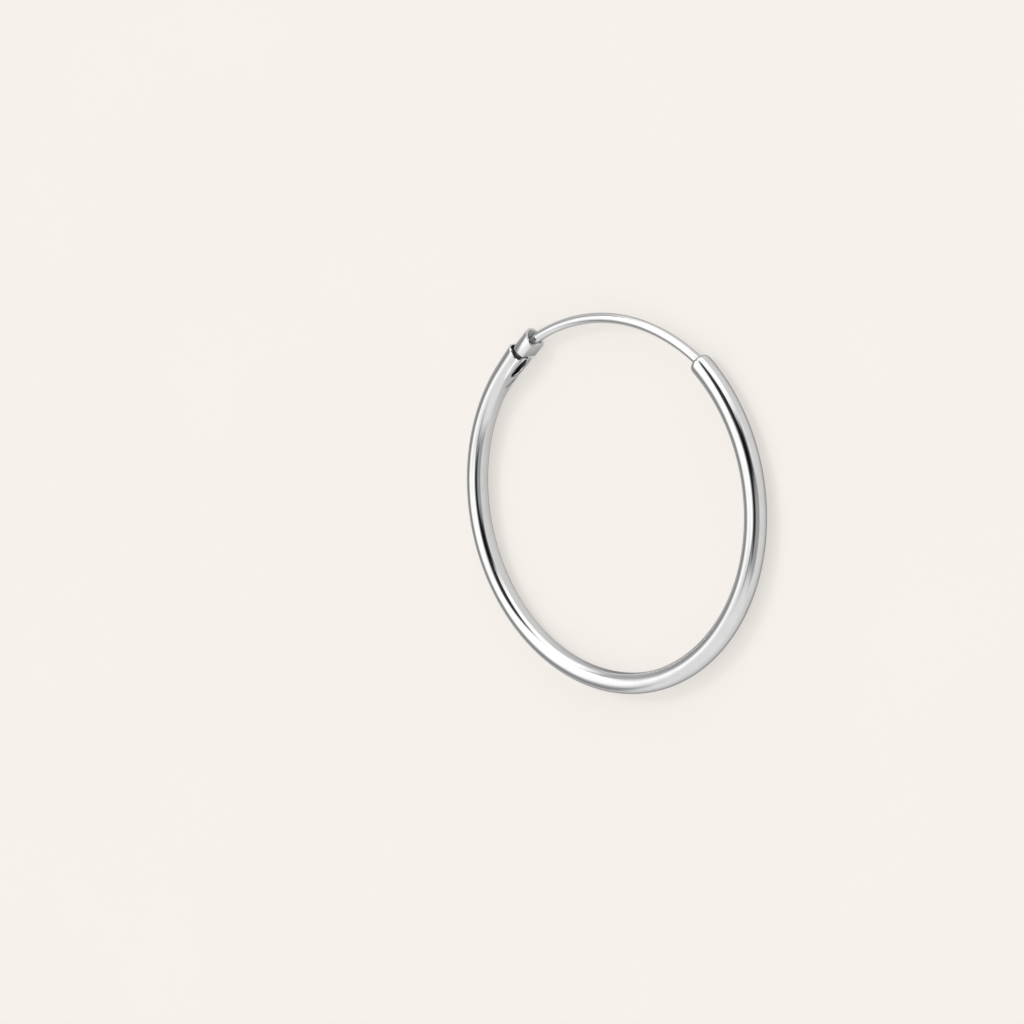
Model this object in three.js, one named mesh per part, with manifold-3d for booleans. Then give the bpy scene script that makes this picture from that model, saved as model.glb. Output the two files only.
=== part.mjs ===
import * as THREE from 'three';
import { mergeVertices } from 'three/addons/utils/BufferGeometryUtils.js';
import Module from 'manifold-3d';

// A continuous hoop earring in polished silver, lying on its side. A hollow tube makes most of the
// hoop. Its front end is a closed dome that holds the ear wire, and its open rear end holds a
// straight catch tube. The free end of the wire springs into the mouth of the catch.
// The hoop lies in X and Y, and the middle of the ear wire points along +Y. An angle round the hoop
// is measured from +Y towards +X. Lengths are millimetres, angles are degrees.

// Hoop tube
const hoopDiameter = 25;
const tubeWidth = 1.4;
const tubeThickness = 1.2;
const tubeWall = 0.15;
const frontEndAngle = 36;
const lipAngle = 43.8;
const lipSlant = 18;
const domeRounding = 0.38;
const domeFill = 2;

// Catch tube, straight, square to the hoop's radius at catchLead degrees behind the lip
const catchLead = 3.3;
const catchWidth = 1.36;
const catchThickness = 1.17;
const catchSideHeight = 0.49;
const catchWall = 0.11;
const headLength = 1.47;
const tongueLength = 2.4;
const shoulderSlant = 13;
const shoulderGap = 0.13;

// The straight stretch of the hoop's inner side over the catch, with a window in it
const padDepth = 0.19;
const windowLength = 1.8;
const windowWidth = 0.52;
const windowBack = 0.98;

// Ear wire
const wireDiameter = 0.63;
const wireCrownDrop = 0.95;
const wireSocketDepth = 1.5;
const wireTipDepth = 1.85;

// Clearances of the fits
const fitGap = 0.03;
const wireGap = 0.02;
const catchPlay = 0.045;

// Fineness of the facets
const tubeSides = 16;
const wireSides = 12;
const domeSteps = 4;
const bodyStep = 4.5;
const padStep = 1.75;
const wireSteps = 48;
const wireStations = 10;
const arcSegments = 8;

const radians = THREE.MathUtils.degToRad;
const silver = { metalness: 1, roughness: 0.12 };

const wasm = await Module();
wasm.setup();

// Sizes worked out from the driving ones
const outerRadius = hoopDiameter / 2;
const tubeRadius = tubeWidth / 2;
const axisRadius = outerRadius - tubeRadius;
const flatDrop = tubeThickness - tubeRadius;
const midRadius = outerRadius - tubeThickness / 2;
const cavityRadius = tubeRadius - tubeWall;
const flatRadius = outerRadius - tubeThickness;
const wireRadius = wireDiameter / 2;

// Places along the catch are measured from where it is square to the hoop's radius
const catchAngle = lipAngle + catchLead;
const catchFlatRadius = flatRadius - padDepth;
const catchTopRadius = catchFlatRadius + catchThickness;
const lipPlace = axisRadius * radians(catchLead);
const shoulderPlace = lipPlace + shoulderGap;
const catchReach = lipPlace + headLength;
const tongueBack = lipPlace - tongueLength;
const tongueSag = (axisRadius - Math.sqrt(axisRadius * axisRadius - tongueBack * tongueBack)) / 2;
const tongueAxis = axisRadius - tongueSag;
const tongueRadius = cavityRadius - tongueSag - fitGap;
const tongueBase = catchFlatRadius + tubeWall + fitGap;

function toManifold(geometry) {
    const bare = geometry.clone();
    bare.deleteAttribute('normal');
    bare.deleteAttribute('uv');
    const welded = mergeVertices(bare, 1e-5);
    const vertProperties = new Float32Array(welded.attributes.position.array);
    const triVerts = new Uint32Array(welded.index.array);
    return new wasm.Manifold(new wasm.Mesh({ numProp: 3, vertProperties, triVerts }));
}

function toGeometry(solid) {
    const mesh = solid.getMesh();
    const geometry = new THREE.BufferGeometry();
    geometry.setAttribute('position', new THREE.BufferAttribute(new Float32Array(mesh.vertProperties), 3));
    geometry.setIndex(new THREE.BufferAttribute(new Uint32Array(mesh.triVerts), 1));
    geometry.computeVertexNormals();
    return geometry;
}

function namedMesh(name, geometry, colour) {
    const mesh = new THREE.Mesh(geometry, new THREE.MeshStandardMaterial({ color: colour, ...silver }));
    mesh.name = name;
    return mesh;
}

function pointOnHoop(radius, angle) {
    return new THREE.Vector3(radius * Math.sin(radians(angle)), radius * Math.cos(radians(angle)), 0);
}

// The hoop's path has one section at each of its stations, which lie closer together at the ends
class HoopPath extends THREE.Curve {
    constructor(stations) {
        super();
        this.stations = stations;
    }

    angleAt(t) {
        const place = t * (this.stations.length - 1);
        const before = Math.min(Math.floor(place), this.stations.length - 2);
        return THREE.MathUtils.lerp(this.stations[before], this.stations[before + 1], place - before);
    }

    getPoint(t) {
        return pointOnHoop(axisRadius, this.angleAt(t));
    }

    getTangent(t) {
        const angle = radians(this.angleAt(t));
        return new THREE.Vector3(Math.cos(angle), -Math.sin(angle), 0);
    }

    getUtoTmapping(u) {
        return u;
    }
}

// A round section, cut flat towards the middle of the hoop where the flat's drop below its centre is
// less than its radius
function roundSection(radius, drop) {
    const circumscribed = radius / Math.cos(Math.PI / tubeSides);
    const points = [];
    for (let side = 0; side < tubeSides; side++) {
        const angle = (2 * Math.PI * (side + 0.5)) / tubeSides - Math.PI / 2;
        const point = new THREE.Vector2(Math.cos(angle), Math.sin(angle)).multiplyScalar(circumscribed);
        if (drop >= radius || point.y > -drop) {
            points.push(point);
        }
    }
    if (drop < radius) {
        const corner = Math.sqrt(radius * radius - drop * drop);
        points.push(new THREE.Vector2(-corner, -drop), new THREE.Vector2(corner, -drop));
    }
    return new THREE.Shape(points);
}

function stationsBetween(from, to, step) {
    const count = Math.ceil((to - from) / step);
    return Array.from({ length: count }, (_, i) => from + ((to - from) * i) / count);
}

// How far a rounded end stands in from the full section, at a distance from its tip
function roundingInset(distance, rounding) {
    const along = 1 - Math.min(distance / rounding, 1);
    return rounding * (1 - Math.sqrt(1 - along * along));
}

// Near the catch the inner flat runs straight, level with the catch, and grows as wide as the catch
function padShare(angle) {
    const straightRadius = catchFlatRadius / Math.cos(radians(angle - (360 - catchAngle)));
    return straightRadius > 0 ? Math.max(0, (flatRadius - straightRadius) / padDepth) : 0;
}

function padEndAngle() {
    return Math.acos(catchFlatRadius / flatRadius) / radians(1);
}

function sweptHoop(stations, inset, padWidth, finish) {
    const drop = flatDrop - inset;
    const extrudePath = new HoopPath(stations);
    const options = { steps: stations.length - 1, bevelEnabled: false, extrudePath };
    const geometry = new THREE.ExtrudeGeometry(roundSection(tubeRadius - inset, drop), options);
    const position = geometry.attributes.position;
    for (let i = 0; i < position.count; i++) {
        const place = new THREE.Vector3().fromBufferAttribute(position, i);
        const turn = Math.atan2(place.x, place.y) / radians(1);
        const angle = turn < 0 ? turn + 360 : turn;
        const section = { across: place.z, out: Math.hypot(place.x, place.y) - axisRadius, angle };
        const share = padShare(angle);
        if (section.out < -drop / 2) {
            const target = (Math.sign(section.across) * padWidth) / 2;
            section.across = THREE.MathUtils.lerp(section.across, target, share);
        }
        if (Math.abs(section.out + drop) < 1e-4) {
            section.out -= padDepth * share;
        }
        finish(section);
        const moved = pointOnHoop(axisRadius + section.out, section.angle);
        position.setXYZ(i, moved.x, moved.y, section.across);
    }
    return toManifold(geometry);
}

const rearAngle = 360 - lipAngle;
const degreesPerLength = 1 / (midRadius * radians(1));

function domeStations() {
    const stations = [];
    for (let step = 0; step < domeSteps; step++) {
        const along = 1 - Math.cos((step / domeSteps) * (Math.PI / 2));
        stations.push(frontEndAngle + (1 - Math.sqrt(1 - along)) * domeRounding * degreesPerLength);
    }
    return stations;
}

function roundedFront(section) {
    const distance = (section.angle - frontEndAngle) / degreesPerLength;
    const share = 1 - roundingInset(Math.max(distance, 0), domeRounding) / (tubeThickness / 2);
    const middle = midRadius - axisRadius;
    section.across *= share;
    section.out = middle + (section.out - middle) * share;
}

function slantedLip(section) {
    if (Math.abs(section.angle - rearAngle) < 1e-3) {
        const inwards = midRadius - axisRadius - section.out;
        section.angle += inwards * Math.tan(radians(lipSlant)) * degreesPerLength;
    }
}

// Solids along the catch, from one place to another: of a flat base, upright sides and a round top,
// and of a round tube with a flat base
function alongCatch(shape, from, to) {
    const options = { depth: to - from, bevelEnabled: false, curveSegments: arcSegments };
    return new THREE.ExtrudeGeometry(shape, options).rotateY(Math.PI / 2).translate(from, 0, 0);
}

function domedSection(width, base, top, side) {
    const half = width / 2;
    const shape = new THREE.Shape();
    shape.moveTo(-half, base);
    shape.lineTo(half, base);
    shape.lineTo(half, base + side);
    shape.absellipse(0, base + side, half, top - base - side, 0, Math.PI, false, 0);
    shape.closePath();
    return shape;
}

function tongueSection(radius, base) {
    const points = roundSection(radius, tongueAxis - base).getPoints();
    return new THREE.Shape(points.map((point) => new THREE.Vector2(point.x, point.y + tongueAxis)));
}

function slantStart(geometry, from, slant) {
    const position = geometry.attributes.position;
    for (let i = 0; i < position.count; i++) {
        if (Math.abs(position.getX(i) - from) < 1e-4) {
            position.setX(i, from + (midRadius - position.getY(i)) * Math.tan(radians(slant)));
        }
    }
    return geometry;
}

function windowCutter() {
    const half = windowWidth / 2;
    const reach = windowLength / 2 - half;
    const shape = new THREE.Shape();
    shape.absarc(reach, 0, half, -Math.PI / 2, Math.PI / 2, false);
    shape.absarc(-reach, 0, half, Math.PI / 2, (3 * Math.PI) / 2, false);
    shape.closePath();
    const depth = catchThickness / 2 + tubeWall;
    const options = { depth, bevelEnabled: false, curveSegments: arcSegments };
    const cutter = new THREE.ExtrudeGeometry(shape, options).rotateX(-Math.PI / 2);
    return cutter.translate(lipPlace - windowBack, catchFlatRadius - tubeWall, 0);
}

function catchPoint(along, radius) {
    return new THREE.Vector3(along, radius, 0).applyAxisAngle(new THREE.Vector3(0, 0, 1), radians(catchAngle));
}

// Ear wire: an arc from the dome to the mouth, through the crown, with straight ends
const mouthPoint = catchPoint(catchReach, catchFlatRadius + catchWall + wireRadius + wireGap);
const throatPoint = catchPoint(shoulderPlace, tongueAxis);
const tipPoint = catchPoint(catchReach - wireTipDepth, tongueAxis);
const socketPoint = pointOnHoop(midRadius, frontEndAngle);
const crownPoint = pointOnHoop(outerRadius - wireCrownDrop, 0);

function circleThrough(a, b, c) {
    const d = 2 * (a.x * (b.y - c.y) + b.x * (c.y - a.y) + c.x * (a.y - b.y));
    const [aa, bb, cc] = [a, b, c].map((p) => p.x * p.x + p.y * p.y);
    const x = (aa * (b.y - c.y) + bb * (c.y - a.y) + cc * (a.y - b.y)) / d;
    const y = (aa * (c.x - b.x) + bb * (a.x - c.x) + cc * (b.x - a.x)) / d;
    return { centre: new THREE.Vector3(x, y, 0), radius: Math.hypot(a.x - x, a.y - y) };
}

const wireArc = circleThrough(socketPoint, crownPoint, mouthPoint);

function angleOnWire(point) {
    return Math.atan2(point.x - wireArc.centre.x, point.y - wireArc.centre.y) / radians(1);
}

function pointOnWire(angle) {
    return pointOnHoop(wireArc.radius, angle).add(wireArc.centre);
}

function wireRootDirection() {
    const angle = radians(angleOnWire(socketPoint));
    return new THREE.Vector3(Math.cos(angle), -Math.sin(angle), 0);
}

function wirePath() {
    const root = socketPoint.clone().addScaledVector(wireRootDirection(), wireSocketDepth);
    const points = [root];
    for (let station = 0; station <= wireStations; station++) {
        const share = station / wireStations;
        points.push(pointOnWire(THREE.MathUtils.lerp(angleOnWire(socketPoint), angleOnWire(mouthPoint), share)));
    }
    points.push(throatPoint, tipPoint);
    return new THREE.CatmullRomCurve3(points, false, 'centripetal');
}

function earWire() {
    const shape = new THREE.Shape();
    shape.absarc(0, 0, wireRadius, 0, 2 * Math.PI, false);
    const path = wirePath();
    const options = { steps: wireSteps, bevelEnabled: false, extrudePath: path, curveSegments: wireSides / 2 };
    return new THREE.ExtrudeGeometry(shape, options);
}

function wireSocket() {
    const direction = wireRootDirection();
    const length = wireSocketDepth + wireGap + domeRounding;
    const radius = (wireRadius + wireGap) / Math.cos(Math.PI / wireSides);
    const bore = new THREE.CylinderGeometry(radius, radius, length, wireSides);
    const turn = new THREE.Quaternion().setFromUnitVectors(new THREE.Vector3(0, 1, 0), direction);
    const middle = socketPoint.clone().addScaledVector(direction, length / 2 - domeRounding);
    return bore.applyQuaternion(turn).translate(middle.x, middle.y, middle.z);
}

function hoopTube() {
    const padStart = 360 - catchAngle - padEndAngle();
    const skinStart = frontEndAngle + domeRounding * degreesPerLength;
    const skinStations = [
        ...domeStations(),
        ...stationsBetween(skinStart, padStart, bodyStep),
        ...stationsBetween(padStart, rearAngle, padStep),
        rearAngle,
    ];
    const cavityStart = frontEndAngle + domeFill * degreesPerLength;
    const cavityEnd = rearAngle + tubeThickness * degreesPerLength;
    const cavityStations = [
        ...stationsBetween(cavityStart, padStart, bodyStep),
        ...stationsBetween(padStart, cavityEnd, padStep),
        cavityEnd,
    ];
    const skin = sweptHoop(skinStations, 0, catchWidth, (section) => {
        roundedFront(section);
        slantedLip(section);
    });
    const cavity = sweptHoop(cavityStations, tubeWall, catchWidth - 2 * tubeWall, () => {});
    const window = toManifold(windowCutter().rotateZ(radians(catchAngle)));
    return toGeometry(skin.subtract(cavity).subtract(window).subtract(toManifold(wireSocket())));
}

function catchTube() {
    const boreRadius = wireRadius + catchPlay;
    const tongueWall = tongueRadius - boreRadius;
    const throat = shoulderPlace + catchThickness / 4;
    const past = catchReach + catchWall;
    const head = domedSection(catchWidth, catchFlatRadius, catchTopRadius, catchSideHeight);
    const mouth = domedSection(
        catchWidth - 2 * catchWall, catchFlatRadius + catchWall, catchTopRadius - catchWall,
        catchSideHeight - catchWall);
    const tongue = tongueSection(tongueRadius, tongueBase);
    const bore = tongueSection(boreRadius, tongueBase + tongueWall);
    const headSolid = slantStart(alongCatch(head, shoulderPlace, catchReach), shoulderPlace, shoulderSlant);
    const body = toManifold(headSolid).add(toManifold(alongCatch(tongue, tongueBack, throat)));
    const mouthCut = toManifold(alongCatch(mouth, throat, past));
    const boreCut = toManifold(alongCatch(bore, tongueBack - tongueWall, past));
    return toGeometry(body.subtract(mouthCut).subtract(boreCut).subtract(toManifold(windowCutter())));
}

const hoopMesh = namedMesh('hoop_tube', hoopTube(), 0xd9dadb);
const catchMesh = namedMesh('catch_tube', catchTube(), 0xcfd0d2);
const wireMesh = namedMesh('ear_wire', earWire(), 0xe2e3e4);
catchMesh.rotation.z = radians(catchAngle);

// The origin is under the middle of the hoop's box, on the surface that it lies on
const wireCrown = wireArc.centre.y + wireArc.radius + wireRadius;
const hoop = new THREE.Group();
hoop.position.set(0, (outerRadius - wireCrown) / 2, tubeRadius);
hoop.add(hoopMesh, catchMesh, wireMesh);

export default hoop;
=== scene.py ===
import math

import bmesh
import bpy
from mathutils import Matrix, Vector


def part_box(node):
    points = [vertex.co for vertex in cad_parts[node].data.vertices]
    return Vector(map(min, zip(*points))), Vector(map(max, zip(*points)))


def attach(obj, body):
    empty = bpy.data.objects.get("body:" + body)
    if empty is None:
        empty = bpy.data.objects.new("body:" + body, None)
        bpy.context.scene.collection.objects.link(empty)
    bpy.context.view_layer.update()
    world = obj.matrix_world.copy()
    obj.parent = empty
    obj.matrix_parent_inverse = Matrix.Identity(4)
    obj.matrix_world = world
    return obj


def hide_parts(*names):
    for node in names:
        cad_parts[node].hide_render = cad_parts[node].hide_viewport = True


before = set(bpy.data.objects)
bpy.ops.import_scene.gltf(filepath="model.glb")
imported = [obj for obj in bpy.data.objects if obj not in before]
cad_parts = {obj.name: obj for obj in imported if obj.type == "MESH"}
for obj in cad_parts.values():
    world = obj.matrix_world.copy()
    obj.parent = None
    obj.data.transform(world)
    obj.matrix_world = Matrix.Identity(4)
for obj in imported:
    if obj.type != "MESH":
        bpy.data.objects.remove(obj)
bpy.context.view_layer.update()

# A continuous hoop earring in polished silver, lying on a pale sheet. Sizes are millimetres until
# they are placed, and angles are degrees round the hoop, from the middle of the ear wire.
MM = 0.001

# Hoop tube, with a dome at its front end and a flat on its inner side
HOOP_DIAMETER = 25.0
TUBE_WIDTH = 1.4
TUBE_THICKNESS = 1.33
TUBE_WALL = 0.08
FRONT_END = 34.7
DOME_ROUNDING = 0.38
DOME_FILL = 2.0
FLAT_CORNER = 0.06
FLAT_CROWN = 0.012

# Its lip over the catch: slanted, on a straight last stretch, and scooped back at the corners of
# the flat. The scoop's place is measured inwards from the tube's axis.
LIP = 43.8
LIP_SLANT = 18.0
LIP_SCOOP = 0.33
SCOOP_PLACE = 0.4
SCOOP_REACH = 0.6
SCOOP_FADE = 6
FLAT_ZONE = 0.01
LIP_STRAIGHT = 1.9

# The flat near the lip, which turns straight, widens and has a window
PAD_DEPTH = 0.06
PAD_FADE = 3
PAD_WIDENING = 4.2
WINDOW_LENGTH = 1.8
WINDOW_WIDTH = 0.66
WINDOW_BACK = 0.92
WINDOW_POINT = 0.6

# Catch tube
CATCH_LEAD = 3.3
CATCH_WIDTH = 1.36
CATCH_THICKNESS = 1.23
CATCH_SIDE = 0.49
CATCH_WALL = 0.13
CATCH_CORNER = 0.1
CATCH_TUCK = 0.07
HEAD_LENGTH = 1.43
SHOULDER_SLANT = 13.0
SHOULDER_GAP = 0.13
MOUTH_SLANT = 14.0
TONGUE_LENGTH = 2.4
TONGUE_RADIUS = 0.457
BORE_PLAY = 0.045

# Ear wire
WIRE_DIAMETER = 0.63
WIRE_CROWN_DROP = 0.95
WIRE_SOCKET_DEPTH = 1.2
WIRE_TIP_DEPTH = 2.05
WIRE_TIP_ROUNDING = 0.2
WIRE_GAP = 0.02

# Fineness of the meshes, and the rounding of cut rims
SECTION_SIDES = 64
BORE_SIDES = 48
HOOP_STEP = 1.5
WIRE_STEP = 2.0
DOME_STEPS = 10
CORNER_STEPS = 4
FLAT_STEPS = 8
RIM_ROUNDING = 0.03
RIM_STEPS = 3
SHARP_ANGLE = 40.0
TINY = 1e-4

# Worked out from the sizes
OUTER = HOOP_DIAMETER / 2
TUBE_RADIUS = TUBE_WIDTH / 2
AXIS = OUTER - TUBE_RADIUS
FLAT = OUTER - TUBE_THICKNESS
FLAT_DROP = AXIS - FLAT
MIDDLE = OUTER - TUBE_THICKNESS / 2
DEGREES_PER_MM = math.degrees(1 / MIDDLE)
PAD_HALF = CATCH_WIDTH / 2 - CATCH_TUCK
CATCH_ANGLE = LIP + CATCH_LEAD
CATCH_FLAT = FLAT - PAD_DEPTH
LIP_PLACE = AXIS * math.radians(CATCH_LEAD)
SHOULDER = LIP_PLACE + SHOULDER_GAP
REACH = LIP_PLACE + HEAD_LENGTH
TONGUE_BACK = LIP_PLACE - TONGUE_LENGTH
TONGUE_AXIS = (AXIS + math.sqrt(AXIS ** 2 - TONGUE_BACK ** 2)) / 2
WIRE_RADIUS = WIRE_DIAMETER / 2
WIRE_REST = CATCH_FLAT + CATCH_WALL + WIRE_RADIUS + WIRE_GAP
BORE_RADIUS = WIRE_RADIUS + BORE_PLAY

# The middle of the hoop stands above the lowest point of its tube
tube_low, tube_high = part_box("hoop_tube")
CENTRE = Vector((0, tube_low.y + OUTER * MM, TUBE_RADIUS * MM))


def turned(angle):
    """Turns what stands at the middle of the ear wire round the hoop to an angle."""
    return Matrix.Rotation(math.radians(-angle), 4, "Z")


def on_hoop(radius, angle):
    return turned(angle) @ Vector((0, radius, 0))


def in_catch(along, radius):
    return turned(-CATCH_ANGLE) @ Vector((along, radius, 0))


def placed(name, bm, *materials):
    """A closed mesh in millimetres round the middle of the hoop becomes an object in its place."""
    bmesh.ops.remove_doubles(bm, verts=bm.verts, dist=TINY)
    bmesh.ops.recalc_face_normals(bm, faces=bm.faces)
    bmesh.ops.transform(bm, verts=bm.verts, matrix=Matrix.Translation(CENTRE) @ Matrix.Scale(MM, 4))
    mesh = bpy.data.meshes.new(name)
    bm.to_mesh(mesh)
    bm.free()
    for material in materials:
        mesh.materials.append(material)
    piece = bpy.data.objects.new(name, mesh)
    bpy.context.scene.collection.objects.link(piece)
    return piece


def combined(piece, operation, *others):
    """Joins or cuts a piece with other solids, which are used up."""
    for other in others:
        tool = piece.modifiers.new("combine", "BOOLEAN")
        tool.operation = operation
        tool.solver = "EXACT"
        tool.material_mode = "TRANSFER"
        tool.object = other
    graph = bpy.context.evaluated_depsgraph_get()
    made = bpy.data.meshes.new_from_object(piece.evaluated_get(graph))
    piece.modifiers.clear()
    piece.data = made
    for other in others:
        bpy.data.objects.remove(other)
    return piece


# Sections and sweeps


def edges_of(geometry):
    return [part for part in geometry if isinstance(part, bmesh.types.BMEdge)]


def verts_of(geometry):
    return [part for part in geometry if isinstance(part, bmesh.types.BMVert)]


def open_edges(bm):
    return [e for e in bm.edges if e.is_boundary]


def crown_edge(bm, chosen, crown):
    """Divides the one straight edge of a section and bows it outwards a little."""
    straight = [e for e in bm.edges if all(chosen(v) for v in e.verts)]
    half = max(abs(v.co.x) for e in straight for v in e.verts)
    divided = bmesh.ops.subdivide_edges(bm, edges=straight, cuts=FLAT_STEPS)
    for vert in verts_of(divided["geom_inner"]):
        vert.co.y -= crown * (1 - (vert.co.x / half) ** 2)


def flat_ring(bm, radius, drop, sides):
    """A ring of edges in X and Y, cut flat at a drop below its centre, with rounded corners."""
    bmesh.ops.create_circle(bm, cap_ends=True, segments=sides, radius=radius)
    bmesh.ops.bisect_plane(
        bm, geom=bm.verts[:] + bm.edges[:] + bm.faces[:],
        plane_co=(0, -drop, 0), plane_no=(0, -1, 0), clear_outer=True)
    bmesh.ops.bevel(
        bm, geom=[v for v in bm.verts if abs(v.co.y + drop) < TINY], offset=FLAT_CORNER,
        affect="VERTICES", segments=CORNER_STEPS, profile=0.5, material=-1)
    crown_edge(bm, lambda v: abs(v.co.y + drop) < TINY, FLAT_CROWN)
    bmesh.ops.delete(bm, geom=bm.faces[:], context="FACES_ONLY")


def stand_across(bm, axis_radius, angle):
    """Stands the section across the tube: its X runs along the hoop's axis and its Y outwards."""
    stand = Matrix(((0, 0, -1, 0), (0, 1, 0, 0), (1, 0, 0, 0), (0, 0, 0, 1)))
    place = turned(angle) @ Matrix.Translation((0, axis_radius, 0)) @ stand
    bmesh.ops.transform(bm, verts=bm.verts, matrix=place)


def spun_on(bm, loop, centre, degrees, step):
    """Carries an open loop round a centre in the plane of the hoop, and gives the loop at the end."""
    spun = bmesh.ops.spin(
        bm, geom=loop, cent=centre, axis=(0, 0, -1), dvec=(0, 0, 0),
        angle=math.radians(degrees), steps=max(1, math.ceil(abs(degrees) / step)),
        use_merge=False, use_duplicate=False)
    return edges_of(spun["geom_last"])


def drawn_on(bm, loop, move, middle=None, shrink=1.0):
    """Draws an open loop out straight, and closes it in towards its middle."""
    drawn = bmesh.ops.extrude_edge_only(bm, edges=loop)["geom"]
    change = Matrix.Translation(move)
    if middle is not None:
        closing = Matrix.Translation(middle) @ Matrix.Scale(shrink, 4) @ Matrix.Translation(-middle)
        change = change @ closing
    bmesh.ops.transform(bm, verts=verts_of(drawn), matrix=change)
    return edges_of(drawn)


def rounded_on(bm, loop, middle, direction, rounding, half):
    """Closes an open loop with a rounded end, and a small flat in the middle of it."""
    reach, share = 0.0, 1.0
    for step in range(1, DOME_STEPS + 1):
        angle = math.pi / 2 * step / DOME_STEPS
        next_reach = rounding * math.sin(angle)
        next_share = 1 - rounding * (1 - math.cos(angle)) / half
        move = direction * (next_reach - reach)
        loop = drawn_on(bm, loop, move, middle + direction * reach, next_share / share)
        reach, share = next_reach, next_share
    bmesh.ops.holes_fill(bm, edges=loop, sides=0)


def raised(bm, direction):
    """Draws the one face of a section out into a solid."""
    drawn = bmesh.ops.extrude_face_region(bm, geom=bm.faces[:])["geom"]
    bmesh.ops.translate(bm, verts=verts_of(drawn), vec=direction)


# Hoop tube


def pad_share(angle):
    """How far the inner flat has left the hoop's round for the straight line of the catch."""
    straight = CATCH_FLAT / math.cos(math.radians(angle - 360 + CATCH_ANGLE))
    return max(0.0, (FLAT - straight) / PAD_DEPTH) if straight > 0 else 0.0


def widened_share(angle):
    """How far the inner flat has widened towards the width of the catch."""
    along = math.radians(angle - 360 + CATCH_ANGLE) * MIDDLE
    share = min(1.0, max(0.0, 1 + along / PAD_WIDENING))
    return share * share * (3 - 2 * share)


def lip_shift(out, across, drop, pad_half):
    """How far a point of the lip stands ahead of a square end, from its slant and its scoop."""
    scoop = LIP_SCOOP * max(0.0, 1 - ((out + SCOOP_PLACE) / SCOOP_REACH) ** 2)
    if out < FLAT_ZONE - drop:
        scoop *= (abs(across) / pad_half) ** SCOOP_FADE
    slant = (MIDDLE - AXIS - out) * math.tan(math.radians(LIP_SLANT))
    return slant - scoop


def shape_hoop(bm, inset, lipped):
    """Straightens the tube at the lip, brings its flat to the catch's, and shapes the lip."""
    drop, pad_half = FLAT_DROP - inset, PAD_HALF - inset
    for vert in bm.verts:
        angle = math.degrees(math.atan2(vert.co.x, vert.co.y)) % 360
        out = vert.co.xy.length - AXIS
        below = min(1.0, max(0.0, -out / drop))
        straight = LIP_STRAIGHT - math.radians(360 - LIP - angle) * AXIS
        if angle > 180 and straight > 0:
            out += straight ** 2 / HOOP_DIAMETER * (1 - below)
        half = math.sqrt(max((TUBE_RADIUS - inset) ** 2 - min(out ** 2, drop ** 2), TINY))
        if below > 0 and angle > 180:
            vert.co.z *= max(1 + (pad_half / half - 1) * widened_share(angle) * below, 1.0)
            out -= PAD_DEPTH * pad_share(angle) * below ** PAD_FADE
        if lipped and abs(angle - 360 + LIP) < TINY:
            angle += lip_shift(out, vert.co.z, drop, pad_half) * DEGREES_PER_MM
        moved = on_hoop(AXIS + out, angle)
        vert.co.x, vert.co.y = moved.x, moved.y


def ruled_across(bm, rim):
    """Divides the lip's end face into strips across it, so that its scoop bends cleanly."""
    for vert in rim:
        if vert.co.z > TINY and vert.co.xy.length > FLAT + TINY:
            mirrored = Vector((vert.co.x, vert.co.y, -vert.co.z))
            twin = min(rim, key=lambda v: (v.co - mirrored).length)
            bmesh.ops.connect_verts(bm, verts=[vert, twin])


def hoop_skin(material):
    """The hoop tube as one full solid, from its dome to its lip."""
    bm = bmesh.new()
    flat_ring(bm, TUBE_RADIUS, FLAT_DROP, SECTION_SIDES)
    start = FRONT_END + DOME_ROUNDING * DEGREES_PER_MM
    stand_across(bm, AXIS, start)
    last = spun_on(bm, bm.edges[:], (0, 0, 0), 360 - LIP - start, HOOP_STEP)
    first = [e for e in open_edges(bm) if e not in last]
    forward = turned(start) @ Vector((-1, 0, 0))
    rounded_on(bm, first, on_hoop(MIDDLE, start), forward, DOME_ROUNDING, TUBE_THICKNESS / 2)
    bmesh.ops.holes_fill(bm, edges=open_edges(bm), sides=0)
    ruled_across(bm, list(dict.fromkeys(v for e in last for v in e.verts)))
    shape_hoop(bm, 0, True)
    return placed("hoop_tube_polished", bm, material)


def hoop_cavity(material):
    """The hollow of the hoop tube, as a solid that runs out past the lip."""
    bm = bmesh.new()
    flat_ring(bm, TUBE_RADIUS - TUBE_WALL, FLAT_DROP - TUBE_WALL, BORE_SIDES)
    start = FRONT_END + DOME_FILL * DEGREES_PER_MM
    stand_across(bm, AXIS, start)
    past = TUBE_THICKNESS * DEGREES_PER_MM
    spun_on(bm, bm.edges[:], (0, 0, 0), 360 - LIP + past - start, HOOP_STEP)
    bmesh.ops.holes_fill(bm, edges=open_edges(bm), sides=0)
    shape_hoop(bm, TUBE_WALL, False)
    return placed("cavity", bm, material)


def window_cutter(material):
    """An egg-shaped window, longer towards the lip, through the hoop's flat and the tongue."""
    bm = bmesh.new()
    bmesh.ops.create_circle(bm, cap_ends=True, segments=BORE_SIDES, radius=WINDOW_WIDTH / 2)
    for vert in bm.verts:
        share = WINDOW_POINT if vert.co.x > 0 else 1 - WINDOW_POINT
        vert.co.x *= 2 * share * WINDOW_LENGTH / WINDOW_WIDTH
        vert.co.x -= (WINDOW_POINT - 0.5) * WINDOW_LENGTH
    lay = Matrix.Rotation(math.radians(-90), 4, "X")
    shift = Matrix.Translation((LIP_PLACE - WINDOW_BACK, CATCH_FLAT - TUBE_WALL, 0))
    bmesh.ops.transform(bm, verts=bm.verts, matrix=turned(-CATCH_ANGLE) @ shift @ lay)
    raised(bm, in_catch(0, CATCH_THICKNESS / 2 + TUBE_WALL))
    return placed("window", bm, material)


# Catch tube


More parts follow.
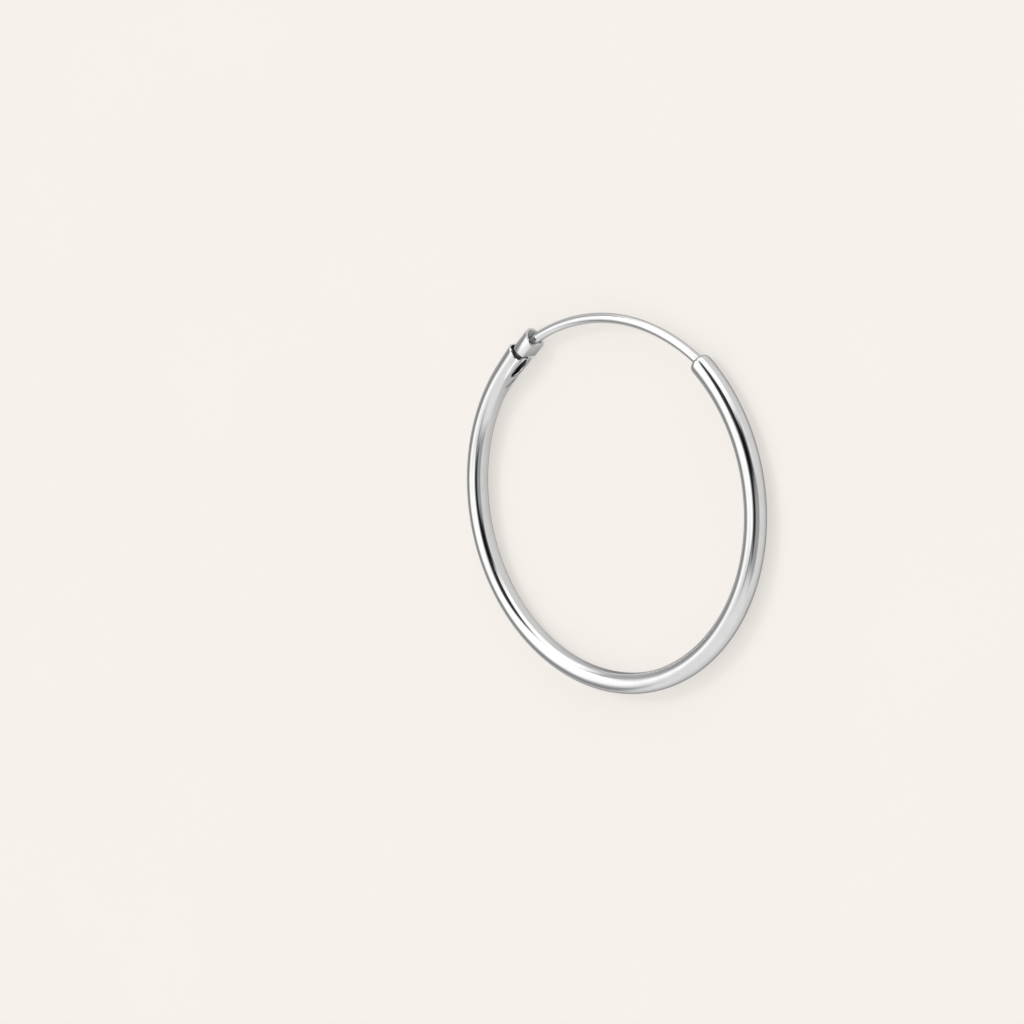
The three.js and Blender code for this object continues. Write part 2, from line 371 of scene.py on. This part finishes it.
def along_catch(bm, start, end):
    """Stands a section across the catch and draws it along, from one place to another."""
    stand = Matrix(((0, 0, -1, start), (0, 1, 0, 0), (1, 0, 0, 0), (0, 0, 0, 1)))
    bmesh.ops.transform(bm, verts=bm.verts, matrix=stand)
    raised(bm, (end - start, 0, 0))


def domed_section(bm, inset):
    """A face with a flat base, tucked sides and a round top, at the catch's distance in Y."""
    half = CATCH_WIDTH / 2 - inset
    depth = CATCH_SIDE - inset
    bmesh.ops.create_circle(bm, cap_ends=True, segments=SECTION_SIDES, radius=half)
    bmesh.ops.bisect_plane(
        bm, geom=bm.verts[:] + bm.edges[:] + bm.faces[:],
        plane_co=(0, 0, 0), plane_no=(0, -1, 0), clear_outer=True)
    flattening = (CATCH_THICKNESS - CATCH_SIDE - inset) / half
    bmesh.ops.scale(bm, verts=bm.verts, vec=(1, flattening, 1))
    base = [e for e in bm.edges if all(abs(v.co.y) < TINY for v in e.verts)]
    sides = bmesh.ops.extrude_edge_only(bm, edges=base)["geom"]
    bmesh.ops.translate(bm, verts=verts_of(sides), vec=(0, -depth, 0))
    bmesh.ops.dissolve_edges(bm, edges=base)
    upright = [e for e in bm.edges if abs(sum(v.co.y for v in e.verts) + depth) < TINY]
    bmesh.ops.subdivide_edges(bm, edges=upright, cuts=FLAT_STEPS)
    for vert in bm.verts:
        if vert.co.y < 0:
            vert.co.x -= math.copysign(CATCH_TUCK * (vert.co.y / depth) ** 2, vert.co.x)
    bmesh.ops.bevel(
        bm, geom=[v for v in bm.verts if abs(v.co.y + depth) < TINY], offset=CATCH_CORNER,
        affect="VERTICES", segments=CORNER_STEPS, profile=0.5, material=-1)
    crown_edge(bm, lambda v: abs(v.co.y + depth) < TINY, 0 if inset else FLAT_CROWN)
    bmesh.ops.translate(bm, verts=bm.verts, vec=(0, CATCH_FLAT + CATCH_SIDE, 0))


def domed_tube(name, inset, start, end, slants, *materials):
    """A straight solid on the catch's section, slanted at both ends. Its back has the last material."""
    bm = bmesh.new()
    domed_section(bm, inset)
    along_catch(bm, start, end)
    for face in bm.faces:
        if all(abs(v.co.x - start) < TINY for v in face.verts):
            face.material_index = len(materials) - 1
    for vert in bm.verts:
        slant = slants[0] if abs(vert.co.x - start) < TINY else slants[1]
        pivot = MIDDLE if slant > 0 else CATCH_FLAT + CATCH_WALL
        vert.co.x += (pivot - vert.co.y) * math.tan(math.radians(slant))
    bmesh.ops.transform(bm, verts=bm.verts, matrix=turned(-CATCH_ANGLE))
    return placed(name, bm, *materials)


def round_tube(name, radius, start, end, material):
    """A straight round solid on the axis of the tongue."""
    bm = bmesh.new()
    bmesh.ops.create_circle(bm, cap_ends=True, segments=BORE_SIDES, radius=radius)
    bmesh.ops.translate(bm, verts=bm.verts, vec=(0, TONGUE_AXIS, 0))
    along_catch(bm, start, end)
    bmesh.ops.transform(bm, verts=bm.verts, matrix=turned(-CATCH_ANGLE))
    return placed(name, bm, material)


def catch_tube(polished, dark, lit_satin):
    """The head with its open mouth, and the round tongue with its bore behind it."""
    throat = SHOULDER + CATCH_THICKNESS / 4
    slants = (SHOULDER_SLANT, -MOUTH_SLANT)
    # The back of the shoulder and the tongue take the dark tone, painted shade; the mouth and the bore
    # take the light tone, painted light.
    head = domed_tube("catch_tube_polished", 0, SHOULDER, REACH, slants, polished, dark)
    tongue = round_tube("tongue", TONGUE_RADIUS, TONGUE_BACK, throat, dark)
    mouth = domed_tube("mouth", CATCH_WALL, throat, REACH + CATCH_WALL, (0, -MOUTH_SLANT), lit_satin)
    bore = round_tube("bore", BORE_RADIUS, TONGUE_BACK - CATCH_WALL, throat + CATCH_WALL, lit_satin)
    combined(head, "UNION", tongue)
    return combined(head, "DIFFERENCE", mouth, bore, window_cutter(polished))


# Ear wire


def circle_through(a, b, c):
    """The centre and radius of the circle through three points of the hoop's plane."""
    d = 2 * (a.x * (b.y - c.y) + b.x * (c.y - a.y) + c.x * (a.y - b.y))
    aa, bb, cc = (p.xy.length_squared for p in (a, b, c))
    x = (aa * (b.y - c.y) + bb * (c.y - a.y) + cc * (a.y - b.y)) / d
    y = (aa * (c.x - b.x) + bb * (a.x - c.x) + cc * (b.x - a.x)) / d
    centre = Vector((x, y, 0))
    return centre, (a - centre).length


def angle_round(centre, point):
    return math.degrees(math.atan2(point.x - centre.x, point.y - centre.y))


# The wire's arc runs through its socket in the dome, its crown and the floor of the mouth
socket = on_hoop(MIDDLE, FRONT_END)
crown = on_hoop(OUTER - WIRE_CROWN_DROP, 0)
mouth_rest = in_catch(REACH, WIRE_REST)
arc_centre, arc_radius = circle_through(socket, crown, mouth_rest)
socket_turn = angle_round(arc_centre, socket)
mouth_turn = angle_round(arc_centre, mouth_rest)


def ear_wire(polished, lit_satin):
    """From its root in the dome, round its arc to the catch, and straight to a rounded tip."""
    bm = bmesh.new()
    bmesh.ops.create_circle(bm, cap_ends=False, segments=BORE_SIDES, radius=WIRE_RADIUS)
    stand_across(bm, arc_radius, socket_turn)
    bmesh.ops.translate(bm, verts=bm.verts, vec=arc_centre)
    last = spun_on(bm, bm.edges[:], arc_centre, mouth_turn - socket_turn, WIRE_STEP)
    first = [e for e in open_edges(bm) if e not in last]
    root = turned(socket_turn) @ Vector((WIRE_SOCKET_DEPTH, 0, 0))
    bmesh.ops.holes_fill(bm, edges=drawn_on(bm, first, root), sides=0)
    bend = mouth_turn + CATCH_ANGLE
    bend_radius = (TONGUE_AXIS - WIRE_REST) / (1 - math.cos(math.radians(bend)))
    towards = (arc_centre - mouth_rest).normalized()
    last = spun_on(bm, last, mouth_rest + towards * bend_radius, -bend, WIRE_STEP)
    bend_length = bend_radius * math.sin(math.radians(bend))
    straight = WIRE_TIP_DEPTH - bend_length - WIRE_TIP_ROUNDING
    inwards = turned(-CATCH_ANGLE) @ Vector((-1, 0, 0))
    if straight > 0:
        last = drawn_on(bm, last, inwards * straight)
    end = in_catch(REACH - WIRE_TIP_DEPTH + WIRE_TIP_ROUNDING, TONGUE_AXIS)
    rounded_on(bm, last, end, inwards, WIRE_TIP_ROUNDING, WIRE_RADIUS)
    # The tip takes the light tone, painted light where it shows in the window.
    for face in bm.faces:
        if (face.calc_center_median() - end).length < WIRE_DIAMETER:
            face.material_index = 1
    return placed("ear_wire_polished", bm, polished, lit_satin)


def wire_socket(material):
    """The hole in the dome that the wire's root fills."""
    bm = bmesh.new()
    bmesh.ops.create_circle(bm, cap_ends=True, segments=BORE_SIDES, radius=WIRE_RADIUS + WIRE_GAP / 2)
    stand_across(bm, arc_radius, socket_turn)
    out = turned(socket_turn) @ Vector((-DOME_ROUNDING, 0, 0))
    bmesh.ops.translate(bm, verts=bm.verts, vec=arc_centre + out)
    depth = WIRE_SOCKET_DEPTH + DOME_ROUNDING + WIRE_GAP
    raised(bm, turned(socket_turn) @ Vector((depth, 0, 0)))
    return placed("socket", bm, material)


# Materials. Pattern scales count per metre, tones are red, green and blue, and a pair is where a
# soft edge starts and where it is full.
# A low specular tint darkens the silver's grazing edges: painted shade along the rims.
EDGE_SHADE_TINT = (0.32, 0.33, 0.35, 1.0)
LINE_SCALE = 16000.0
LINE_STRETCH = 0.06
LINE_ROUGHNESS = 0.035
LINE_BUMP = 0.25
HAZE_SCALE = 900.0
HAZE_ROUGHNESS = 0.05
TARNISH = (0.42, 0.75)
WAVE_SCALE = 220.0
WAVE_BUMP = 0.3
WAVE_DEPTH = 10.0
# The press mark on the flat is painted shade: a near-black tone, with no dent in the surface.
MARK_BACK = 2.1
MARK_SLANT = 1.4
MARK_ALONG = (0.14, 0.07)
MARK_ACROSS = (0.06, 0.0)
MARK_RADIUS = (11.42, 11.36)
MARK_SHADE_TONE = (0.05, 0.05, 0.055, 1.0)
MARK_STRENGTH = 0.85
STAIN_SCALE = 2500.0
WORN_METALLIC = 0.35
WORN_ROUGHNESS = 0.4
STAIN_ROUGHNESS = 0.2
MOTTLE_SCALE = 60.0
SHEET_DARK = (0.387, 0.379, 0.371, 1.0)
SHEET_LIGHT = (0.407, 0.399, 0.391, 1.0)
SHEET_GLOW = (0.527, 0.503, 0.475, 1.0)


class Signal:
    """A shader socket that takes part in Python sums."""

    def __init__(self, tree, socket):
        self.tree = tree
        self.socket = socket

    def node(self, kind, settings=(), inputs=(), output=0):
        """A new node with its settings, then the values and links of its sockets."""
        made = self.tree.nodes.new(kind)
        for name, value in dict(settings).items():
            setattr(made, name, value)
        for key, value in dict(inputs).items():
            if isinstance(value, Signal):
                value.feeds(made, key)
            else:
                made.inputs[key].default_value = value
        return Signal(self.tree, made.outputs[output])

    def feeds(self, taker, key):
        self.tree.links.new(self.socket, taker.inputs[key])

    def parts(self):
        """The X, Y and Z of a vector."""
        split = self.node("ShaderNodeSeparateXYZ", {}, {0: self})
        return [Signal(self.tree, socket) for socket in split.socket.node.outputs]

    def maths(self, operation, *values):
        return self.node("ShaderNodeMath", {"operation": operation}, dict(enumerate(values)))

    def ramp(self, start, end):
        """Runs softly from 0 at the start to 1 at the end."""
        return self.node(
            "ShaderNodeMapRange", {"interpolation_type": "SMOOTHSTEP"},
            {"Value": self, "From Min": start, "From Max": end})

    def noise(self, scale, detail):
        return self.node("ShaderNodeTexNoise", {}, {"Vector": self, "Scale": scale, "Detail": detail})

    def mix(self, low, high):
        """Goes from one tone to another as the signal goes from 0 to 1."""
        return self.node(
            "ShaderNodeMix", {"data_type": "RGBA"}, {"Factor": self, 6: low, 7: high}, output=2)

    def __add__(self, other):
        return self.maths("ADD", self, other)

    def __radd__(self, other):
        return self.maths("ADD", other, self)

    def __sub__(self, other):
        return self.maths("SUBTRACT", self, other)

    def __rsub__(self, other):
        return self.maths("SUBTRACT", other, self)

    def __mul__(self, other):
        return self.maths("MULTIPLY", self, other)

    def __rmul__(self, other):
        return self.maths("MULTIPLY", other, self)


def shader_start(name):
    """A new material, its shader, and the place on the piece."""
    material = bpy.data.materials.new(name)
    material.use_nodes = True
    tree = material.node_tree
    place = Signal(tree, None).node("ShaderNodeTexCoord", output="Object")
    return material, tree.nodes["Principled BSDF"], place


def painted_dent_shade(around, radius, z):
    """A short slanted mark on the flat, below the window, where a dent's shade is painted as a dark
    tone.
    """
    along = around + math.radians(CATCH_ANGLE) * AXIS * MM
    off_line = along.maths("ABSOLUTE", along + MARK_BACK * MM + z * MARK_SLANT)
    lengthwise = off_line.ramp(*(MM * edge for edge in MARK_ALONG))
    sideways = z.ramp(*(MM * edge for edge in MARK_ACROSS))
    inner = radius.ramp(*(MM * edge for edge in MARK_RADIUS))
    return lengthwise * sideways * inner


def polished_silver(name, bright, dull, roughness, line_depth, dent_shaded=False):
    """Bright silver: fine polishing lines along the tube, faint haze and a breath of tarnish.
    The depth of the lines is in metres."""
    material, surface, place = shader_start(name)
    centred = place.node("ShaderNodeMapping", {}, {"Vector": place, "Location": tuple(-CENTRE)})
    x, y, z = centred.parts()
    radius = x.maths("SQRT", x * x + y * y)
    around = x.maths("ARCTAN2", x, y) * (AXIS * MM)
    line_place = x.node("ShaderNodeCombineXYZ", {}, {0: around * LINE_STRETCH, 1: radius, 2: z})
    lines = line_place.noise(LINE_SCALE, detail=3.0)
    haze = place.noise(HAZE_SCALE, detail=4.0)
    wave = place.noise(WAVE_SCALE, detail=1.0)
    tarnish = x.node(
        "ShaderNodeMapRange", {}, {"Value": haze, "From Min": TARNISH[0], "From Max": TARNISH[1]})
    tone = tarnish.mix((*bright, 1), (*dull, 1))
    # Painted shade of a dent: the press mark's near-black tone.
    if dent_shaded:
        tone = (painted_dent_shade(around, radius, z) * MARK_STRENGTH).mix(tone, MARK_SHADE_TONE)
    tone.feeds(surface, "Base Color")
    (roughness + HAZE_ROUGHNESS * haze + LINE_ROUGHNESS * lines).feeds(surface, "Roughness")
    fine = x.node(
        "ShaderNodeBump", {}, {"Height": lines, "Strength": LINE_BUMP, "Distance": line_depth})
    broad = x.node(
        "ShaderNodeBump", {},
        {"Height": wave, "Strength": WAVE_BUMP, "Distance": line_depth * WAVE_DEPTH, "Normal": fine})
    broad.feeds(surface, "Normal")
    surface.inputs["Metallic"].default_value = 1.0
    # The low specular tint is painted shade: it darkens the grazing edges.
    surface.inputs["Specular Tint"].default_value = EDGE_SHADE_TINT
    return material


def unpolished_silver_painted_tone(name, dark, light):
    """Silver with a cloudy stain over a painted tone: dark as painted shade for the hollow, the socket,
    the tongue and the shoulder's back, light as painted light for the mouth, the bore and the wire's
    tip.
    """
    material, surface, place = shader_start(name)
    stain = place.noise(STAIN_SCALE, detail=4.0)
    stain.mix((*dark, 1), (*light, 1)).feeds(surface, "Base Color")
    (WORN_ROUGHNESS + STAIN_ROUGHNESS * stain).feeds(surface, "Roughness")
    surface.inputs["Metallic"].default_value = WORN_METALLIC
    return material


def pale_sheet():
    """Cream paper with a faint, wide mottling, lit a little from below."""
    material, surface, place = shader_start("pale_sheet")
    mottle = place.noise(MOTTLE_SCALE, detail=5.0)
    mottle.mix(SHEET_DARK, SHEET_LIGHT).feeds(surface, "Base Color")
    surface.inputs["Roughness"].default_value = 0.9
    surface.inputs["Specular IOR Level"].default_value = 0.1
    surface.inputs["Emission Color"].default_value = SHEET_GLOW
    surface.inputs["Emission Strength"].default_value = 1.0
    return material


# Pieces


def finished(piece, node):
    """Rounds the cut rims, smooths the faces and puts the piece in place of its solid."""
    rims = piece.modifiers.new("rounded_rims", "BEVEL")
    rims.width = RIM_ROUNDING * MM
    rims.segments = RIM_STEPS
    rims.limit_method = "ANGLE"
    rims.angle_limit = math.radians(SHARP_ANGLE)
    rims.use_clamp_overlap = True
    piece.data.shade_smooth()
    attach(piece, "root")
    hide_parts(node)


# Shaded and lit copies of one unpolished silver. The dark one is painted shade in the hollow, the
# socket, the tongue and the back of the shoulder; the light one is painted light in the mouth, the bore
# and the wire's tip.
painted_shade_silver = unpolished_silver_painted_tone("painted_shade_darkened_silver", (0.12, 0.12, 0.125), (0.24, 0.24, 0.25))
painted_light_satin_silver = unpolished_silver_painted_tone("painted_light_satin_silver", (0.86, 0.86, 0.87), (0.95, 0.95, 0.96))
tube_silver = polished_silver(
    "polished_silver_tube", (0.69, 0.712, 0.741), (0.65, 0.671, 0.698),
    roughness=0.06, line_depth=4e-7, dent_shaded=True)
catch_silver = polished_silver(
    "polished_silver_catch", (0.68, 0.702, 0.73), (0.62, 0.64, 0.666),
    roughness=0.08, line_depth=6e-7)
wire_silver = polished_silver(
    "polished_silver_wire", (0.70, 0.722, 0.751), (0.66, 0.681, 0.708),
    roughness=0.07, line_depth=4e-7)

hoop = hoop_skin(tube_silver)
# The cavity and the socket give their dark tone, painted shade, to the walls they cut.
cavity = hoop_cavity(painted_shade_silver)
combined(hoop, "DIFFERENCE", cavity, window_cutter(tube_silver), wire_socket(painted_shade_silver))
finished(hoop, "hoop_tube")
finished(catch_tube(catch_silver, painted_shade_silver, painted_light_satin_silver), "catch_tube")
finished(ear_wire(wire_silver, painted_light_satin_silver), "ear_wire")


# Sheet and camera. The sheet's size is in metres, and the camera's places are millimetres from the
# middle of the hoop.
SHEET_SIZE = 4.0
CAMERA_PLACE = Vector((120.17, 34.99, 136.57))
CAMERA_AIM = Vector((-8.56, -2.16, 0.0))
CAMERA_UP = Vector((-0.1542, 0.9806, -0.1215))
CAMERA_LENS = 102.46


def pale_floor():
    bm = bmesh.new()
    bmesh.ops.create_grid(bm, x_segments=1, y_segments=1, size=SHEET_SIZE / 2)
    mesh = bpy.data.meshes.new("sheet")
    bm.to_mesh(mesh)
    bm.free()
    sheet = bpy.data.objects.new("sheet", mesh)
    sheet.data.materials.append(pale_sheet())
    bpy.context.scene.collection.objects.link(sheet)


def camera():
    data = bpy.data.cameras.new("camera")
    data.lens = CAMERA_LENS
    data.sensor_width = 36.0
    data.clip_start = 0.01
    data.clip_end = 10.0
    back = (CAMERA_PLACE - CAMERA_AIM).normalized()
    right = CAMERA_UP.cross(back).normalized()
    up = back.cross(right)
    made = bpy.data.objects.new("camera", data)
    turn = Matrix((right, up, back)).transposed().to_4x4()
    made.matrix_world = Matrix.Translation(CENTRE + CAMERA_PLACE * MM) @ turn
    bpy.context.scene.collection.objects.link(made)
    bpy.context.scene.camera = made


# Light. A direction has a turn, in degrees from +X towards +Y, and a lift above the horizon. A pair
# is where a soft edge starts and where it is full.
KEY_LIGHT = 0.6
KEY_SPREAD = 16.0
KEY_FROM = Vector((-0.55, 0.42, 0.72))
WHITE_TENT = 1.43
GREY_TENT = 0.99
TENT_TINT = (1.035, 1.0, 0.96, 1.0)

# The white parts of the tent: its right side, its top and its far corner
RIGHT_START = (40.0, 66.0)
RIGHT_END = (178.0, 150.0)
OVERHEAD = (68.0, 78.0)
CORNER_LEFT = (-128.0, -170.0)
CORNER_RIGHT = (120.0, 150.0)
CORNER_LIFT = (34.0, 46.0)

# The dark band above the camera. Its lower edge is soft, and crisp towards its far end. A fainter
# tail leads up to its start.
BAND_SOFT_EDGE = (41.0, 54.0)
BAND_CRISP_EDGE = (36.0, 42.0)
BAND_CRISPER = (-5.0, 30.0)
BAND_TOP = (86.0, 64.0)
BAND_START = (-64.0, -26.0)
BAND_END = (108.0, 90.0)
BAND_DARKNESS = 0.975
TAIL_START = (-118.0, -56.0)
TAIL_END = (20.0, 0.0)
TAIL_BOTTOM = (56.0, 66.0)
TAIL_TOP = (77.0, 70.0)
TAIL_SHARE = 0.72

# The camera's stand below the band, and a grey patch beside it
STAND_START = (4.0, 20.0)
STAND_END = (52.0, 38.0)
STAND_BOTTOM = (12.0, 32.0)
STAND_TOP = (62.0, 50.0)
STAND_DARKNESS = 0.93
PATCH_START = (-48.0, -30.0)
PATCH_END = (26.0, 6.0)
PATCH_BOTTOM = (2.0, 16.0)
PATCH_TOP = (58.0, 46.0)
PATCH_DARKNESS = 0.55

# Two grey walls, as far round from their middle on either side. They stay behind the earring, which
# the square of the turn tells for both.
WALL_MIDDLE = 6.0
WALL_APART = 160.0
WALL_EDGE = (46.0, 27.0)
WALL_TOP = (44.0, 24.0)
WALL_TURN_SQUARED = (12000.0, 16000.0)
WALL_DARKNESS = 0.62


def soft_key():
    """A broad, even light from the upper left, for the soft shadow."""
    data = bpy.data.lights.new("soft_key", "SUN")
    data.energy = KEY_LIGHT
    data.angle = math.radians(KEY_SPREAD)
    lamp = bpy.data.objects.new("soft_key", data)
    lamp.rotation_euler = KEY_FROM.to_track_quat("Z", "Y").to_euler()
    bpy.context.scene.collection.objects.link(lamp)


def studio_world():
    """A white tent with a dark band, a stand, a patch and a wall, which draw the silver's stripes."""
    world = bpy.data.worlds.new("white_tent")
    world.use_nodes = True
    bpy.context.scene.world = world
    tree = world.node_tree
    backdrop = tree.nodes["Background"]
    x, y, z = Signal(tree, None).node("ShaderNodeTexCoord", output="Generated").parts()
    turn = x.maths("ARCTAN2", y, x) * math.degrees(1)
    lift = x.maths("ARCSINE", z) * math.degrees(1)

    def larger(first, second):
        return x.maths("MAXIMUM", first, second)

    right_side = turn.ramp(*RIGHT_START) * turn.ramp(*RIGHT_END)
    corner_turn = larger(turn.ramp(*CORNER_LEFT), turn.ramp(*CORNER_RIGHT))
    far_corner = corner_turn * lift.ramp(*CORNER_LIFT)
    white = larger(larger(right_side, lift.ramp(*OVERHEAD)), far_corner)
    tone = GREY_TENT + (WHITE_TENT - GREY_TENT) * white

    soft_edge = lift.ramp(*BAND_SOFT_EDGE)
    crisp_edge = lift.ramp(*BAND_CRISP_EDGE)
    lower_edge = soft_edge + (crisp_edge - soft_edge) * turn.ramp(*BAND_CRISPER)
    sides = turn.ramp(*BAND_START) * turn.ramp(*BAND_END)
    tail = turn.ramp(*TAIL_START) * turn.ramp(*TAIL_END)
    tail = tail * lift.ramp(*TAIL_BOTTOM) * lift.ramp(*TAIL_TOP) * TAIL_SHARE
    band = larger(lower_edge * lift.ramp(*BAND_TOP) * sides, tail)

    stand = turn.ramp(*STAND_START) * turn.ramp(*STAND_END)
    stand = stand * lift.ramp(*STAND_BOTTOM) * lift.ramp(*STAND_TOP)
    patch = turn.ramp(*PATCH_START) * turn.ramp(*PATCH_END)
    patch = patch * lift.ramp(*PATCH_BOTTOM) * lift.ramp(*PATCH_TOP)

    wall_turn = x.maths("ABSOLUTE", turn - WALL_MIDDLE)
    off_wall = x.maths("ABSOLUTE", wall_turn - WALL_APART)
    wall = off_wall.ramp(*WALL_EDGE) * lift.ramp(*WALL_TOP)
    wall = wall * (turn * turn).ramp(*WALL_TURN_SQUARED)

    light = tone * (1 - band * BAND_DARKNESS) * (1 - stand * STAND_DARKNESS)
    light = light * (1 - patch * PATCH_DARKNESS) * (1 - wall * WALL_DARKNESS)
    light.feeds(backdrop, "Strength")
    backdrop.inputs["Color"].default_value = TENT_TINT


pale_floor()
camera()
studio_world()
soft_key()
scene = bpy.context.scene
scene.view_settings.view_transform = "Standard"
scene.view_settings.look = "None"
